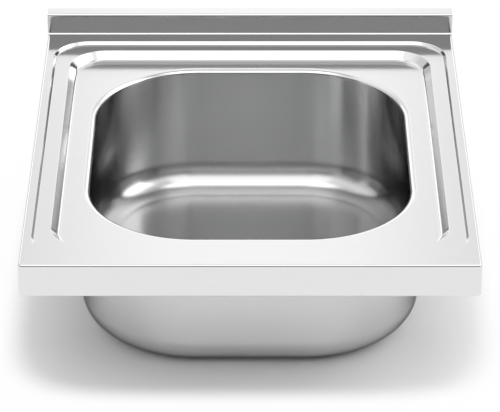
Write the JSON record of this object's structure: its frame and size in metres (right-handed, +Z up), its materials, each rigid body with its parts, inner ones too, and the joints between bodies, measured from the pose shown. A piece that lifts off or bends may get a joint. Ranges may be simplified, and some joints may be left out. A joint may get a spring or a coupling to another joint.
{
  "type": "sit-on sink",
  "caption": "Sit-on stainless steel sink with a stepped top, rear upstand, front apron, deep rounded bowl and a strainer waste with a lift-out basket.",
  "frame": {"origin": "on the plane of the returns on which the sink rests on its cabinet, in the middle of the plan", "axes": "+Z up, +Y towards the rear upstand, +X to the right seen from the front"},
  "size_m": [0.5, 0.6, 0.289],
  "materials": {
    "sink_steel": "bright satin",
    "bowl_steel": "satin",
    "galvanised_steel": "galvanised, dull",
    "waste_steel": "bright",
    "knob_chrome": "polished",
    "pad_bitumen": "matte",
    "gasket_rubber": "matte",
    "waste_plastic": "moulded",
    "insert_brass": "turned"
  },
  "bodies": {
    "sink": {"deck": "sink_steel", "upstand_end_left": "sink_steel", "upstand_end_right": "sink_steel", "bowl": "bowl_steel", "stiffener_left": "galvanised_steel", "stiffener_right": "galvanised_steel", "stiffener_front": "galvanised_steel", "stiffener_rear": "galvanised_steel", "clip_front_left": "galvanised_steel", "clip_front_right": "galvanised_steel", "clip_rear_left": "galvanised_steel", "clip_rear_right": "galvanised_steel", "sound_pad": "pad_bitumen", "earth_tag": "waste_steel", "flange_gasket": "gasket_rubber", "strainer_cup": "waste_steel", "body_gasket": "gasket_rubber", "waste_body": "waste_plastic", "clamp_screw": "waste_steel", "clamp_insert": "insert_brass"},
    "basket": {"strainer_basket": "waste_steel", "basket_seal": "gasket_rubber", "basket_stem": "waste_steel", "basket_knob": "knob_chrome"}
  },
  "joints": [
    {"name": "basket_lift", "type": "slide", "parent": "sink", "child": "basket", "axis": [0, 0, 1], "range_m": [0, 0.25]}
  ]
}
